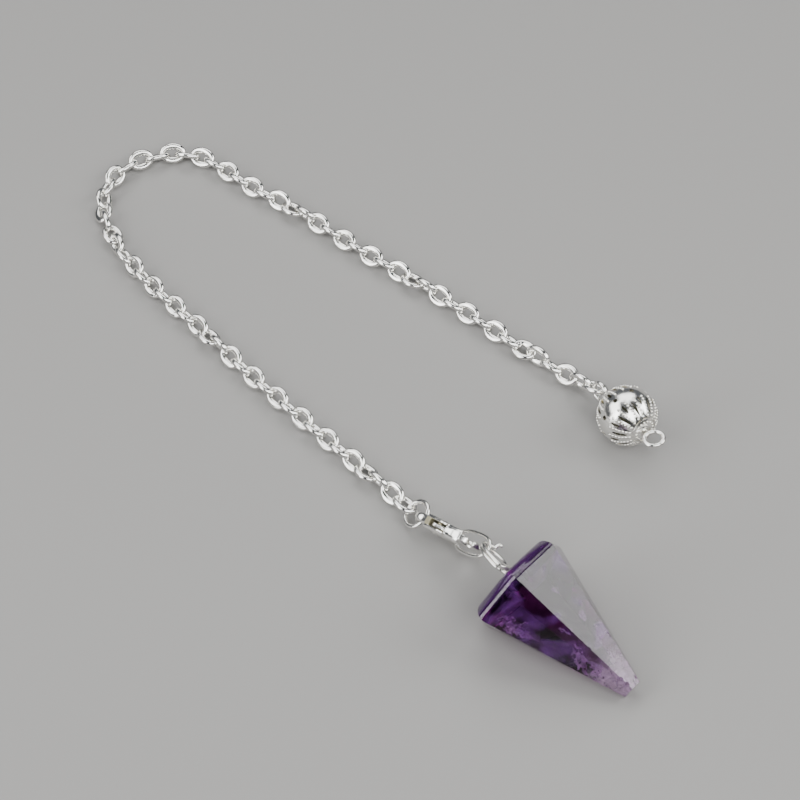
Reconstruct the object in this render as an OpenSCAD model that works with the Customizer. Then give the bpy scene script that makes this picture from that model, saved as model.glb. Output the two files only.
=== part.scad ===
// Pendulum pendant: a faceted stone point on a cable chain with a pierced ball at its end.
// It lies as it was laid down, the chain in one long bend. All lengths are in millimetres.
// +X is to the right, +Y away from the front, and +Z is up from the surface it rests on.

/* [Stone] */
// Distance across opposite side facets at the shoulder
stone_across = 12.9; // [10:0.1:16]
// Length from the shoulder to the flat at the tip
stone_length = 18.4; // [14:0.1:24]
// Lean of each side facet towards the axis, in degrees
stone_taper = 15.7; // [12:0.1:17]
// Height of the rounded shoulder behind the side facets
shoulder_height = 1.8; // [0.8:0.1:2]
// Radius of the blind hole for the bail's shank
stone_hole_r = 0.4; // [0.35:0.01:0.6]
// Depth of the blind hole below the table
stone_hole_depth = 3; // [2:0.1:5]

/* [Bail] */
// Diameter of the bail's wire
bail_wire = 0.5; // [0.4:0.01:0.6]
// Length of the wire loop away from the stone, centre to centre
bail_length = 5.1; // [4.6:0.1:6.5]
// Width of the wire loop, centre to centre
bail_width = 2.3; // [1.8:0.1:3]
// Neck between the stone's table and the loop
bail_neck = 1; // [0.6:0.1:1.5]

/* [Rings] */
// Diameter of the oval ring's wire
oval_wire = 0.5; // [0.4:0.01:0.6]
// Outside length of the oval ring
oval_length = 6.6; // [6.2:0.1:7]
// Outside width of the oval ring
oval_width = 3.5; // [3.2:0.1:4]
// Diameter of the round ring's wire
jump_wire = 0.65; // [0.5:0.01:0.8]
// Outside diameter of the round ring
jump_across = 4.2; // [3.8:0.1:4.8]
// Width of the sawn cut in both rings
ring_cut = 0.06; // [0.03:0.01:0.15]

/* [Clasp] */
// Length over the eye and the nose
clasp_length = 10.6; // [10:0.1:12]
// Width of the hook
clasp_width = 5.6; // [5.4:0.1:6.4]
// Thickness over the two cheeks
clasp_thick = 2; // [1.9:0.1:2.8]
// Thickness of the hook
hook_thick = 1.1; // [0.9:0.05:1.4]
// Radius of the opening inside the hook
hook_opening_r = 1.7; // [1.5:0.05:1.8]
// Radius of the eye
eye_r = 1.3; // [1.2:0.05:1.6]
// Thickness of the eye
eye_thick = 1.5; // [1.2:0.1:1.8]
// Radius of the hole in the eye
eye_hole_r = 0.75; // [0.7:0.05:0.85]
// Thickness of the lever
lever_thick = 0.8; // [0.7:0.05:1]
// Reach of the lever's tip past the middle of the hook
lever_over = 1.75; // [1.4:0.05:1.9]
// Radius of the lever's pin
clasp_pin_r = 0.35; // [0.3:0.01:0.4]
// Clearance beside the lever, each side
lever_gap = 0.06; // [0.04:0.01:0.12]

/* [Chain] */
// Height of the chain lying on its links' edges
chain_across = 2.35; // [2.2:0.05:2.6]
// Diameter of the links' wire
link_wire = 0.75; // [0.6:0.05:0.85]
// Outside length of one link
link_length = 3.9; // [3.6:0.1:4.2]
// Outside width of one link
link_width = 3; // [2.9:0.1:3.3]

/* [Ball] */
// Outside diameter of the pierced ball
ball_across = 8; // [7:0.1:9]
// Wall of the pierced ball
ball_wall = 0.45; // [0.35:0.05:0.7]
// Number of petals round the ball
ball_petals = 10; // [8:1:12]
// Width of a pierced slot
slot_width = 0.7; // [0.5:0.05:0.9]
// Length of a pierced slot
slot_length = 1.8; // [1.2:0.1:2.2]
// Latitude of the slots' middles, each side of the ball's seam
slot_tilt = 28; // [24:1:34]

/* [Eye pin] */
// Diameter of the wire through the ball
pin_wire = 0.6; // [0.5:0.01:0.7]
// Outside diameter of the free ring at the pin's end
end_ring_across = 3.1; // [2.8:0.1:4]
// Outside diameter of the small loop that holds the chain
small_loop_across = 3.1; // [2.9:0.1:3.3]

/* [Hidden] */

silver = [0.80, 0.80, 0.79];
amethyst = [0.42, 0.24, 0.60];

// Gap that pieces keep where they lie against each other
piece_gap = 0.1;

// A vector turned as rotate() turns a piece: about X, then Y, then Z
function turned(v, a) =
    let (p = [v.x, v.y * cos(a.x) - v.z * sin(a.x), v.y * sin(a.x) + v.z * cos(a.x)],
        q = [p.x * cos(a.y) + p.z * sin(a.y), p.y, p.z * cos(a.y) - p.x * sin(a.y)])
    [q.x * cos(a.z) - q.y * sin(a.z), q.x * sin(a.z) + q.y * cos(a.z), q.z];

function unit(v) = v / norm(v);

// Stone: which way its tip points over the floor
stone_heading = -41.8;
stone_apothem = stone_across / 2;
// Each side facet's turn round the axis, counted from the one that it lies on
facet_turns = [0, 64, 125, 182, 238, 300];
// Shoulder bands, one row each: lean back from the axis, drop behind the shoulder as a share
shoulder_bands = [[7, 0], [36, 0.48]];
band_lean = 0;
band_drop = 1;
stone_reach = 3 * max(stone_across, stone_length);

// Bail, in the stone's frame: the side of its doubled strand, the side step and number of its
// turns, and the tail's points from the loop's last one
bail_near = [-0.41, -0.60, 0.47];
bail_pitch = bail_wire + 0.03;
bail_turns = 1.6;
bail_tail = [[0.53, 0.05, 0.14], [0.64, 0.41, 0.37], [0.82, 0.63, 0.57], [1.11, 0.64, 0.44]];

// Clasp: the end of its eye, its heading on the floor, the rise to its nose, and its roll
clasp_at = [6.95, -20.8, 2.15];
clasp_heading = -39;
clasp_rise = 8;
clasp_roll = 119;
clasp_turn = [clasp_roll, -clasp_rise, clasp_heading];
hook_r = clasp_width / 2;
hook_at = [clasp_length - hook_r, 0];
opening_at = hook_at + [0.05, -0.05];
pivot_at = [2 * eye_r + 1.4, 0.75];
slot_thick = lever_thick + 2 * lever_gap;
boss_r = clasp_pin_r + 0.5;
// The slot between the cheeks clears the lever's boss by this much, and so does its floor
boss_gap = 0.15;
slot_floor = pivot_at.y - boss_r - boss_gap;
pin_fit = 0.03;
// The lever's bar is this wide, clears the hook's tip by this gap, and the tip ends at this turn
lever_bar = 0.8;
tip_gap = 0.06;
tip_turn = 40;
lever_reach = hook_at.x - pivot_at.x + lever_over;
// The cheeks end and the thumb pad begins here, and this long the pad is
cheek_end = pivot_at.x + 1.7;
pad_length = 2.4;

// Oval ring: the middle of its wire inside the hook, in the clasp's frame, and its lie there
oval_from = [opening_at.x - 1, opening_at.y + 0.36, 0.08];
oval_along = [0.93, 0.36, -0.055];
oval_roll = 86;
oval_cut_at = 0.3;

// Round ring through the clasp's eye: its swing and tip about the hole, and its wire's slack there
jump_swing = 18;
jump_tip = -6;
jump_slack = 0.05;
jump_r = (jump_across - jump_wire) / 2;
// Inside of the ring's far side, where the chain's last link passes, in the clasp's frame
jump_far = [eye_r, 0, 0] + turned(turned([jump_wire / 2 - 2 * jump_r - jump_slack, 0, 0],
    [0, 0, jump_swing]), [0, jump_tip, 0]);

// Bail's far end: from the oval ring's far end it lies this way, by both wires, which cross at
// a slant, and this slack. From there the bail runs back to the stone with this heading.
bail_from_ring = [-0.67, 0.80, -0.45];
bail_cross = 0.75;
bail_slack = 0.38;
bail_heading = 122.8;
oval_far = oval_from + (oval_length - oval_wire) * unit(oval_along);
bail_end = clasp_at + turned(oval_far, clasp_turn)
    + ((oval_wire + bail_wire) * bail_cross + bail_slack) * unit(bail_from_ring);

// The stone lies where the bail reaches its table from there, whatever the table's height is
table_z = stone_apothem * cos(stone_taper) + shoulder_height * sin(stone_taper);
bail_sine = (bail_end.z - table_z) / (bail_neck + bail_length);
bail_cosine = sqrt(1 - bail_sine * bail_sine);
bail_way = turned(turned([bail_cosine * cos(bail_heading), bail_cosine * sin(bail_heading), bail_sine],
    [0, 0, -stone_heading]), [0, -stone_taper, 0]);
table_back = (bail_neck + bail_length) * bail_cosine;
table_on = shoulder_height * cos(stone_taper);
stone_at = [
    bail_end.x - table_back * cos(bail_heading) + table_on * cos(stone_heading),
    bail_end.y - table_back * sin(bail_heading) + table_on * sin(stone_heading)
];

// Ball and its pin: where the small loop's middle lies over the floor, the pin's heading
// there and its rise towards the free ring
loop_at = [31.27, -1.06];
pin_heading = -56;
pin_rise = 9;
pin_turn = [0, -pin_rise, pin_heading];
pin_hole_r = pin_wire / 2 + 0.06;
end_ring_r = (end_ring_across - pin_wire) / 2;
small_loop_r = (small_loop_across - pin_wire) / 2;
// Turn of each loop's plane round the pin
end_ring_turn = 5;
small_loop_turn = 80;
pin_neck = 0.3;
loop_back = ball_across / 2 + pin_neck + small_loop_across / 2;
ball_at = [
    loop_at.x + loop_back * cos(pin_rise) * cos(pin_heading),
    loop_at.y + loop_back * cos(pin_rise) * sin(pin_heading),
    ball_across / 2
];

// Chain: its two end links lie these ways from the inside of the small loop and of the round
// ring, by shares of a link's inner half length. Then their roll, and the route between them.
first_out = [0.05, 0.40, -0.36];
last_out = [-0.544, 0.684, -0.008];
link_inside = link_length / 2 - link_wire;
first_link = ball_at + turned([pin_wire / 2 - small_loop_r - loop_back, 0, 0], pin_turn)
    + link_inside * first_out;
last_link = clasp_at + turned(jump_far, clasp_turn) + link_inside * last_out;
first_roll = 20;
last_roll = 25;
chain_route = [
    [30.2, 0.8, 2.3], [28.9, 2.2, 1.8], [26.9, 4.0, 1.4], [23.0, 7.2, 1.2], [17.2, 11.6, 1.2],
    [10.1, 18.6, 1.2], [4.2, 22.9, 1.2], [-3.5, 28.9, 1.2], [-9.0, 33.9, 1.2], [-16.8, 39.4, 1.2],
    [-20.4, 42.7, 1.2], [-24.0, 45.4, 1.2], [-28.4, 46.4, 1.2], [-32.8, 44.9, 1.2], [-36.2, 41.8, 1.2],
    [-37.8, 37.6, 1.2], [-37.5, 33.2, 1.2], [-35.7, 29.0, 1.2], [-32.5, 23.7, 1.2], [-26.5, 16.4, 1.2],
    [-19.2, 8.3, 1.2], [-12.0, -0.1, 1.2], [-5.2, -7.2, 1.2], [1.7, -14.0, 1.2], [4.8, -17.5, 1.2]
];
chain_sides = 8;
chain_steps = 3;

// Point on the smooth curve through four neighbours, t running from b to c
function curve(a, b, c, d, t) =
    0.5 * (2 * b + (c - a) * t + (2 * a - 5 * b + 4 * c - d) * t * t + (3 * b - a - 3 * c + d) * t * t * t);

function near(list, i) = list[min(max(i, 0), len(list) - 1)];

function smooth(list, steps) = [
    for (i = [0 : len(list) - 2]) for (k = [0 : steps - 1])
        curve(near(list, i - 1), list[i], list[i + 1], near(list, i + 2), k / steps),
    list[len(list) - 1]
];

function heading(path, i) = unit(near(path, i + 1) - near(path, i - 1));

// Side directions along a path, each carried over from the last without twist
function carried(path, i, side) =
    let (t = heading(path, i), s = unit(side - (side * t) * t))
    i == len(path) - 1 ? [s] : concat([s], carried(path, i + 1, s));

// A closed tube along a path, which starts with one of its flats square to the side direction
module tube(path, r, sides, side) {
    n = len(path);
    across = carried(path, 0, side);
    points = [for (i = [0 : n - 1]) let (s = across[i], u = cross(heading(path, i), s))
        for (k = [0 : sides - 1]) let (a = 360 * (k + 0.5) / sides) path[i] + r * (cos(a) * s + sin(a) * u)];
    walls = [for (i = [0 : n - 2]) for (k = [0 : sides - 1]) let (m = (k + 1) % sides)
        each [[i * sides + k, (i + 1) * sides + m, i * sides + m],
            [i * sides + k, (i + 1) * sides + k, (i + 1) * sides + m]]];
    caps = [[for (k = [0 : sides - 1]) k], [for (k = [sides - 1 : -1 : 0]) (n - 1) * sides + k]];
    polyhedron(points, concat(walls, caps), convexity = 6);
}

// Stone: everything outside one plane, which leans and stands off from the axis
module lap(turn, lean, x, reach) {
    rotate([-turn, 0, 0])
        translate([x, 0, -reach])
            rotate([0, -lean, 0])
                translate([-stone_reach, -stone_reach, -stone_reach])
                    cube([2 * stone_reach, 2 * stone_reach, stone_reach]);
}

// The stone's own frame: its axis along +X with the shoulder at zero, the facet it lies on level
module in_stone() {
    translate([stone_at.x, stone_at.y, stone_apothem * cos(stone_taper)])
        rotate([0, stone_taper, stone_heading])
            children();
}

module stone() {
    color(amethyst, 0.8)
    in_stone() difference() {
        translate([-shoulder_height, -stone_across, -stone_across])
            cube([shoulder_height + stone_length, 2 * stone_across, 2 * stone_across]);
        for (turn = facet_turns) {
            lap(turn, stone_taper, 0, stone_apothem);
            for (band = shoulder_bands) {
                back = band[band_drop] * shoulder_height;
                lap(turn, -band[band_lean], -back, stone_apothem - back * tan(shoulder_bands[0][band_lean]));
            }
        }
        translate([-shoulder_height - 1, 0, 0])
            rotate([0, 90, 0])
                cylinder(r = stone_hole_r, h = stone_hole_depth + 1, $fn = 32);
    }
}

// Bail: a shank in the stone, then an oval coil of the same wire with its tail left standing
way = unit(bail_way);
near_side = unit(bail_near - (bail_near * way) * way);
step = cross(way, near_side);
neck = [-shoulder_height, 0, 0] + bail_neck * way;
function bail_point(turns) = neck
    + bail_length / 2 * (1 - cos(360 * turns)) * way
    + bail_width / 2 * sin(360 * turns) * near_side
    + bail_pitch * (turns - 0.5) * step;

module bail() {
    shank = [for (x = [stone_hole_depth - shoulder_height - 0.3, 0, 0.2 - shoulder_height]) [x, 0, 0]];
    coil = [for (k = [2 : 44]) bail_point(bail_turns * k / 44)];
    last = coil[len(coil) - 1];
    tail = [for (offset = bail_tail) last + offset];
    color(silver)
    in_stone()
        tube(concat(shank, coil, tail), bail_wire / 2, 8, step);
}

// An oval ring of round wire, flat, its length along +X
module oval(length, width, wire) {
    r = (width - wire) / 2;
    straight = length - width;
    for (end = [-1, 1])
        translate([end * straight / 2, 0, 0])
            rotate([0, 0, -90 * end])
                rotate_extrude(angle = 180, $fn = 64) translate([r, 0]) circle(d = wire, $fn = 24);
    for (side = [-1, 1])
        translate([-straight / 2, side * r, 0])
            rotate([0, 90, 0])
                cylinder(d = wire, h = straight, $fn = 24);
}

// The clasp's own frame: +X from the eye's end to the nose, +Y to the lever's side
module in_clasp() {
    translate(clasp_at)
        rotate(clasp_turn)
            children();
}

// The oval ring stands square to the clasp, with its wire through the hook's opening
module oval_ring() {
    r = (oval_width - oval_wire) / 2;
    color(silver)
    in_clasp()
        translate(oval_from)
            rotate([0, -asin(unit(oval_along).z), atan2(oval_along.y, oval_along.x)])
                rotate([oval_roll, 0, 0])
                    translate([(oval_length - oval_wire) / 2, 0, 0])
                        difference() {
                            oval(oval_length, oval_width, oval_wire);
                            translate([oval_cut_at, -r - oval_wire, -oval_wire])
                                cube([ring_cut, 2 * oval_wire, 2 * oval_wire]);
                        }
}

// Clasp outline from the eye to the round hook, without its openings
module clasp_outline() {
    translate([eye_r, 0]) circle(r = eye_r, $fn = 48);
    translate(hook_at) circle(r = hook_r, $fn = 96);
    polygon([[eye_r, -eye_r * 0.94], [hook_at.x * 0.6, -hook_r * 0.86], [hook_at.x, -hook_r * 0.98],
        [hook_at.x, hook_r * 0.98], [hook_at.x * 0.6, hook_r * 0.86], [eye_r, eye_r * 0.94]]);
}

// The round opening in the hook and the mouth, which the lever's tip sweeps as it swings in
module clasp_openings() {
    translate(opening_at) circle(r = hook_opening_r, $fn = 64);
    intersection() {
        translate(pivot_at) circle(r = lever_reach + tip_gap, $fn = 128);
        translate([cheek_end, slot_floor]) square(clasp_length);
    }
    translate(hook_at)
        rotate(tip_turn) square([clasp_length, clasp_length]);
}

// Lever: a boss on the pin, a curved bar over the opening and a flat tip inside the hook's point
module lever_outline() {
    translate(pivot_at) circle(r = boss_r, $fn = 48);
    polygon([pivot_at + [-0.3, 0.78], pivot_at + [1.35, 1.25], hook_at + [-1.2, 2.35], hook_at + [-1.35, 1.5],
        opening_at + [-hook_opening_r - 0.15, 0.6], pivot_at + [0.5, -0.65]]);
    intersection() {
        translate(pivot_at) circle(r = lever_reach, $fn = 128);
        translate([hook_at.x - 1.4, 1]) square(hook_r);
        difference() {
            translate(hook_at) circle(r = hook_r - 0.05, $fn = 96);
            translate(hook_at) circle(r = hook_r - 0.05 - lever_bar, $fn = 96);
        }
    }
}

module clasp_body() {
    color(silver)
    in_clasp() difference() {
        union() {
            translate([0, 0, -hook_thick / 2])
                linear_extrude(hook_thick) clasp_outline();
            translate([eye_r, 0, -eye_thick / 2])
                cylinder(r = eye_r, h = eye_thick, $fn = 48);
            translate([0, 0, -clasp_thick / 2])
                linear_extrude(clasp_thick)
                    intersection() {
                        clasp_outline();
                        translate([1.7 * eye_r, -hook_r]) square([cheek_end - 1.7 * eye_r, 2 * hook_r]);
                    }
        }
        translate([0, 0, -clasp_thick])
            linear_extrude(2 * clasp_thick)
                difference() {
                    clasp_openings();
                    translate([0, -clasp_length]) square([cheek_end, 2 * clasp_length]);
                }
        translate([0, 0, -clasp_thick])
            linear_extrude(2 * clasp_thick)
                translate(opening_at) circle(r = hook_opening_r, $fn = 64);
        translate([eye_r, 0, -clasp_thick])
            cylinder(r = eye_hole_r, h = 2 * clasp_thick, $fn = 48);
        translate([pivot_at.x - boss_r - boss_gap, slot_floor, -slot_thick / 2])
            cube([cheek_end + 0.01 - pivot_at.x + boss_r + boss_gap, clasp_width, slot_thick]);
        translate([pivot_at.x, pivot_at.y, -clasp_thick])
            cylinder(r = clasp_pin_r, h = 2 * clasp_thick, $fn = 32);
    }
}

module clasp_pin() {
    color(silver)
    in_clasp()
        translate([pivot_at.x, pivot_at.y, -clasp_thick / 2])
            cylinder(r = clasp_pin_r, h = clasp_thick, $fn = 32);
}

module clasp_lever() {
    color(silver)
    in_clasp() difference() {
        union() {
            translate([0, 0, -lever_thick / 2])
                linear_extrude(lever_thick) lever_outline();
            translate([0, 0, -clasp_thick / 2])
                linear_extrude(clasp_thick)
                    intersection() {
                        clasp_outline();
                        translate([cheek_end + 0.1, hook_r - lever_bar]) square([pad_length, lever_bar]);
                    }
        }
        translate([pivot_at.x, pivot_at.y, -clasp_thick])
            cylinder(r = clasp_pin_r + pin_fit, h = 2 * clasp_thick, $fn = 32);
    }
}

module jump_ring() {
    color(silver)
    in_clasp()
        translate([eye_r, 0, 0])
            rotate([0, jump_tip, 0]) rotate([90, 0, jump_swing])
                translate([-jump_r - jump_slack, 0, 0])
                    rotate_extrude(angle = 360 * (1 - ring_cut / (2 * PI * jump_r)), $fn = 96)
                        translate([jump_r, 0]) circle(d = jump_wire, $fn = 32);
}

// One whole link at each end of the chain, turned to its neighbour and rolled
module end_link(at, towards, roll) {
    way = unit(towards - at);
    translate(at)
        rotate([roll, -asin(way.z), atan2(way.y, way.x)])
            oval(link_length, link_width, link_wire);
}

module chain() {
    color(silver) {
        tube(smooth(chain_route, chain_steps), chain_across / 2 / cos(180 / chain_sides), chain_sides, [0, 0, 1]);
        end_link(first_link, chain_route[1], first_roll);
        end_link(last_link, chain_route[len(chain_route) - 2], last_roll);
    }
}

// The ball's own frame: +X along the pin towards the free ring
module in_ball() {
    translate(ball_at)
        rotate(pin_turn)
            children();
}

module ball() {
    r = ball_across / 2;
    color(silver)
    in_ball() rotate([0, 90, 0]) difference() {
        sphere(r = r, $fn = 64);
        sphere(r = r - ball_wall, $fn = 64);
        cylinder(r = pin_hole_r, h = ball_across + 2, center = true, $fn = 24);
        for (half = [-1, 1]) for (k = [0 : ball_petals - 1])
            rotate([0, 0, 360 / ball_petals * (k + half / 4)])
                rotate([0, slot_tilt * half, 0])
                    translate([0, -slot_width / 2, -slot_length / 2])
                        cube([r + 1, slot_width, slot_length]);
    }
}

module eye_pin() {
    far = ball_across / 2 + piece_gap + end_ring_across / 2;
    color(silver)
    in_ball() {
        translate([far, 0, 0])
            rotate([end_ring_turn, 0, 0])
                rotate_extrude($fn = 72) translate([end_ring_r, 0]) circle(d = pin_wire, $fn = 24);
        translate([-loop_back, 0, 0])
            rotate([small_loop_turn, 0, 0])
                rotate_extrude($fn = 72) translate([small_loop_r, 0]) circle(d = pin_wire, $fn = 24);
        translate([small_loop_r - loop_back, 0, 0])
            rotate([0, 90, 0])
                cylinder(d = pin_wire, h = loop_back - small_loop_r + far - end_ring_r, $fn = 24);
    }
}

stone();
bail();
oval_ring();
clasp_body();
clasp_pin();
clasp_lever();
jump_ring();
chain();
ball();
eye_pin();
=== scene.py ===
from math import acos, asin, atan2, copysign, cos, hypot, pi, radians, sin, sqrt, tan

import bmesh
import bpy
import numpy as np
from mathutils import Matrix, Vector, noise


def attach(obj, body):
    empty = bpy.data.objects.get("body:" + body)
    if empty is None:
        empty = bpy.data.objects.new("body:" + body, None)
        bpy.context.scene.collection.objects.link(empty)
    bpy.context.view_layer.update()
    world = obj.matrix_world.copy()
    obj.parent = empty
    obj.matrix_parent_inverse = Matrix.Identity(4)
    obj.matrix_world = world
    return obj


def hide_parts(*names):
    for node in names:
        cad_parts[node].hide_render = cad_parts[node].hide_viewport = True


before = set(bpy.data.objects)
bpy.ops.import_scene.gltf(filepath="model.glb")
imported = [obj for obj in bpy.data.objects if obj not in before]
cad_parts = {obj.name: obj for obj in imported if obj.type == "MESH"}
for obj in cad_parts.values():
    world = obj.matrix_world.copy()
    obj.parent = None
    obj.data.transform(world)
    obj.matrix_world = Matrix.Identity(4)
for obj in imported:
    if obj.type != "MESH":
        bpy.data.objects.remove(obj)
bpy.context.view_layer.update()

# Stone
# A six-sided point sawn from cloudy amethyst, ground flat on its long sides,
# rounded at the shoulder and polished all over. A hole is drilled in its flat end.
MM = 0.001
stone_across, stone_length, stone_taper = 12.9, 18.4, 15.7
facet_turns = (0, 64, 125, 182, 238, 300)
shoulder_height = 1.8
# Each narrow band of the shoulder: how far it leans, in degrees, and how far back it ends
shoulder_bands = ((4, 0.35), (14, 0.75), (26, 1.10), (40, 1.42), (56, 1.64), (74, 1.80))
shoulder_round, facet_round = 0.22, 0.07
stone_hole_r, stone_hole_depth, drill_out = 0.4, 3.0, 1
# Edges shorter than these, which grinding and cutting leave, are closed up
ground_sliver, cut_sliver = 0.005, 0.003


def placed(at, x, y, z):
    """The place of a piece whose mesh is in millimetres in its own frame."""
    turn = (Matrix.Rotation(radians(z), 4, "Z") @ Matrix.Rotation(radians(y), 4, "Y")
            @ Matrix.Rotation(radians(x), 4, "X"))
    return Matrix.Translation(Vector(at) * MM) @ turn @ Matrix.Scale(MM, 4)


def linear(hex_colour):
    """An sRGB colour such as #4B2A7A as linear red, green, blue and alpha."""
    parts = [int(hex_colour[k:k + 2], 16) / 255 for k in (1, 3, 5)]
    return (*[c / 12.92 if c <= 0.04045 else ((c + 0.055) / 1.055) ** 2.4 for c in parts], 1.0)


def add(tree, kind, inputs=None, **settings):
    """A new shader node with its settings, and its inputs set or linked."""
    made = tree.nodes.new("ShaderNode" + kind)
    for name, value in settings.items():
        setattr(made, name, value)
    for key, value in (inputs or {}).items():
        if isinstance(value, bpy.types.NodeSocket):
            tree.links.new(value, made.inputs[key])
        else:
            made.inputs[key].default_value = value
    return made


def new_material(name):
    """A material with an empty node tree, and that tree."""
    made = bpy.data.materials.new(name)
    made.use_nodes = True
    made.node_tree.nodes.clear()
    return made, made.node_tree


def make_piece(name, mesh, place, material, body="pendant", sharp=35):
    """A smooth-shaded piece in the object's own frame, which rides on its body."""
    mesh.transform(place)
    made = bpy.data.objects.new(name, mesh)
    bpy.context.scene.collection.objects.link(made)
    mesh.materials.clear()
    mesh.materials.append(material)
    mesh.shade_smooth()
    mesh.set_sharp_from_angle(angle=radians(sharp))
    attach(made, body)
    return made


def carved(mesh, cutter):
    """The mesh with the cutter's solid taken out of it, and without the cut's slivers."""
    block, tool = (bpy.data.objects.new("carving", m) for m in (mesh, cutter))
    for o in (block, tool):
        bpy.context.scene.collection.objects.link(o)
    cut = block.modifiers.new("cut", "BOOLEAN")
    cut.operation, cut.solver, cut.object = "DIFFERENCE", "EXACT", tool
    bpy.context.view_layer.update()
    view = bpy.context.evaluated_depsgraph_get()
    made = bpy.data.meshes.new_from_object(block.evaluated_get(view))
    for o in (block, tool):
        bpy.data.objects.remove(o)
    clean = bmesh.new()
    clean.from_mesh(made)
    bmesh.ops.dissolve_degenerate(clean, edges=clean.edges[:], dist=cut_sliver)
    bmesh.ops.triangulate(clean, faces=[f for f in clean.faces if len(f.verts) > 4])
    clean.to_mesh(made)
    return made


def lap(bm, turn, lean, x, reach):
    """Grinds the stone flat along one plane, which leans and stands off from the axis."""
    turned = Matrix.Rotation(radians(-turn), 3, "X")
    normal = turned @ Vector((sin(radians(lean)), 0, -cos(radians(lean))))
    point = turned @ Vector((x, 0, -reach))
    everything = bm.verts[:] + bm.edges[:] + bm.faces[:]
    cut = bmesh.ops.bisect_plane(bm, geom=everything, plane_co=point, plane_no=normal,
                                 clear_outer=True)
    rim = [g for g in cut["geom_cut"] if isinstance(g, bmesh.types.BMEdge)]
    bmesh.ops.edgeloop_fill(bm, edges=rim)


stone = bmesh.new()
blank_half = (stone_length + shoulder_height) / 2
bmesh.ops.create_cube(stone, size=2,
                      matrix=Matrix.Translation((blank_half - shoulder_height, 0, 0))
                      @ Matrix.Diagonal((blank_half, stone_across, stone_across, 1)))
for turn in facet_turns:
    lap(stone, turn, stone_taper, 0, stone_across / 2)
    back, reach = 0, stone_across / 2
    for lean, end in shoulder_bands:
        lap(stone, turn, -lean, -back, reach)
        back, reach = end, reach - (end - back) * tan(radians(lean))
# The shoulder's edges are rounded well, and the long edges are only just broken
shoulder_from, shoulder_bend = -0.02, radians(20)
long_edge, long_bend = 0.9, radians(18)
rounded = [e for e in stone.edges if all(v.co.x < shoulder_from for v in e.verts)
           and e.calc_face_angle(0) > shoulder_bend]
bmesh.ops.bevel(stone, geom=rounded, offset=shoulder_round, segments=4, profile=0.5,
                affect="EDGES", clamp_overlap=True)
crisp = [e for e in stone.edges if e.calc_length() > long_edge
         and e.calc_face_angle(0) > long_bend
         and any(v.co.x > shoulder_from for v in e.verts)]
bmesh.ops.bevel(stone, geom=crisp, offset=facet_round, segments=2, profile=0.5,
                affect="EDGES", clamp_overlap=True)
bmesh.ops.dissolve_degenerate(stone, edges=stone.edges[:], dist=ground_sliver)
stone_mesh = bpy.data.meshes.new("stone_cut")
stone.to_mesh(stone_mesh)
drill = bmesh.new()
drill_x = (stone_hole_depth - drill_out) / 2 - shoulder_height
bmesh.ops.create_cone(drill, cap_ends=True, segments=32, radius1=stone_hole_r,
                      radius2=stone_hole_r, depth=stone_hole_depth + drill_out,
                      matrix=Matrix.Translation((drill_x, 0, 0)) @ Matrix.Rotation(pi / 2, 4, "Y"))
drill_mesh = bpy.data.meshes.new("drill")
drill.to_mesh(drill_mesh)
stone_mesh = carved(stone_mesh, drill_mesh)

side_off = stone_across / 2 * cos(radians(stone_taper))


def facet_normal(turn):
    """Which way a side facet looks in the stone's own frame."""
    lean, turn = radians(stone_taper), radians(turn)
    return Vector((sin(lean), -cos(lean) * sin(turn), -cos(lean) * cos(turn)))


def edge_point(turn_a, turn_b, x):
    """The point at x on the edge between two side facets."""
    off = side_off - sin(radians(stone_taper)) * x
    rows = [facet_normal(turn).yz for turn in (turn_a, turn_b)]
    return Vector((x, *np.linalg.solve(rows, (off, off)).tolist()))


def mesh_of(name, *solids):
    """One mesh of several closed solids."""
    verts, faces = [], []
    for v, f in solids:
        shift = len(verts)
        verts += [tuple(p) for p in v]
        faces += [tuple(i + shift for i in g) for g in f]
    made = bpy.data.meshes.new(name)
    made.from_pydata(verts, [], faces)
    made.validate()
    return made


def listed(bm):
    """The vertices and faces of a finished solid."""
    made = [tuple(v.co) for v in bm.verts], [tuple(v.index for v in f.verts) for f in bm.faces]
    bm.free()
    return made


def grain(at, r, crumple=0.0, detail=2):
    """A small round grain, which may be crumpled to a flake."""
    bm = bmesh.new()
    bmesh.ops.create_icosphere(bm, subdivisions=detail, radius=r)
    for v in bm.verts:
        v.co *= 1 + crumple * noise.noise(v.co * 1.7 / r + Vector(at) * 3.1)
        v.co += Vector(at)
    return listed(bm)


# Small chips along the polished edges: which two facets, how far along, and how big
chips = (
    (125, 182, 16.6, 0.30), (125, 182, 17.5, 0.34), (182, 238, 17.6, 0.30), (182, 238, 15.9, 0.16),
    (182, 238, 12.2, 0.13), (182, 238, 8.1, 0.11), (182, 238, 5.2, 0.12), (125, 182, 11.3, 0.10),
    (64, 125, 1.6, 0.20), (64, 125, 3.4, 0.13), (64, 125, 9.6, 0.14), (64, 125, 14.8, 0.18),
    (238, 300, 10.2, 0.14), (238, 300, 4.4, 0.12), (300, 0, 7.5, 0.12), (64, 125, 0.6, 0.24),
    (64, 125, 2.5, 0.18), (64, 125, 5.2, 0.16), (64, 125, 6.7, 0.12),
)
chip_out, chip_crumple = 1.004, 0.5
chip_mesh = mesh_of("chips", *[grain(edge_point(a, b, x) * chip_out, r, chip_crumple, 1)
                               for a, b, x, r in chips])
stone_mesh = carved(stone_mesh, chip_mesh)

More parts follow.
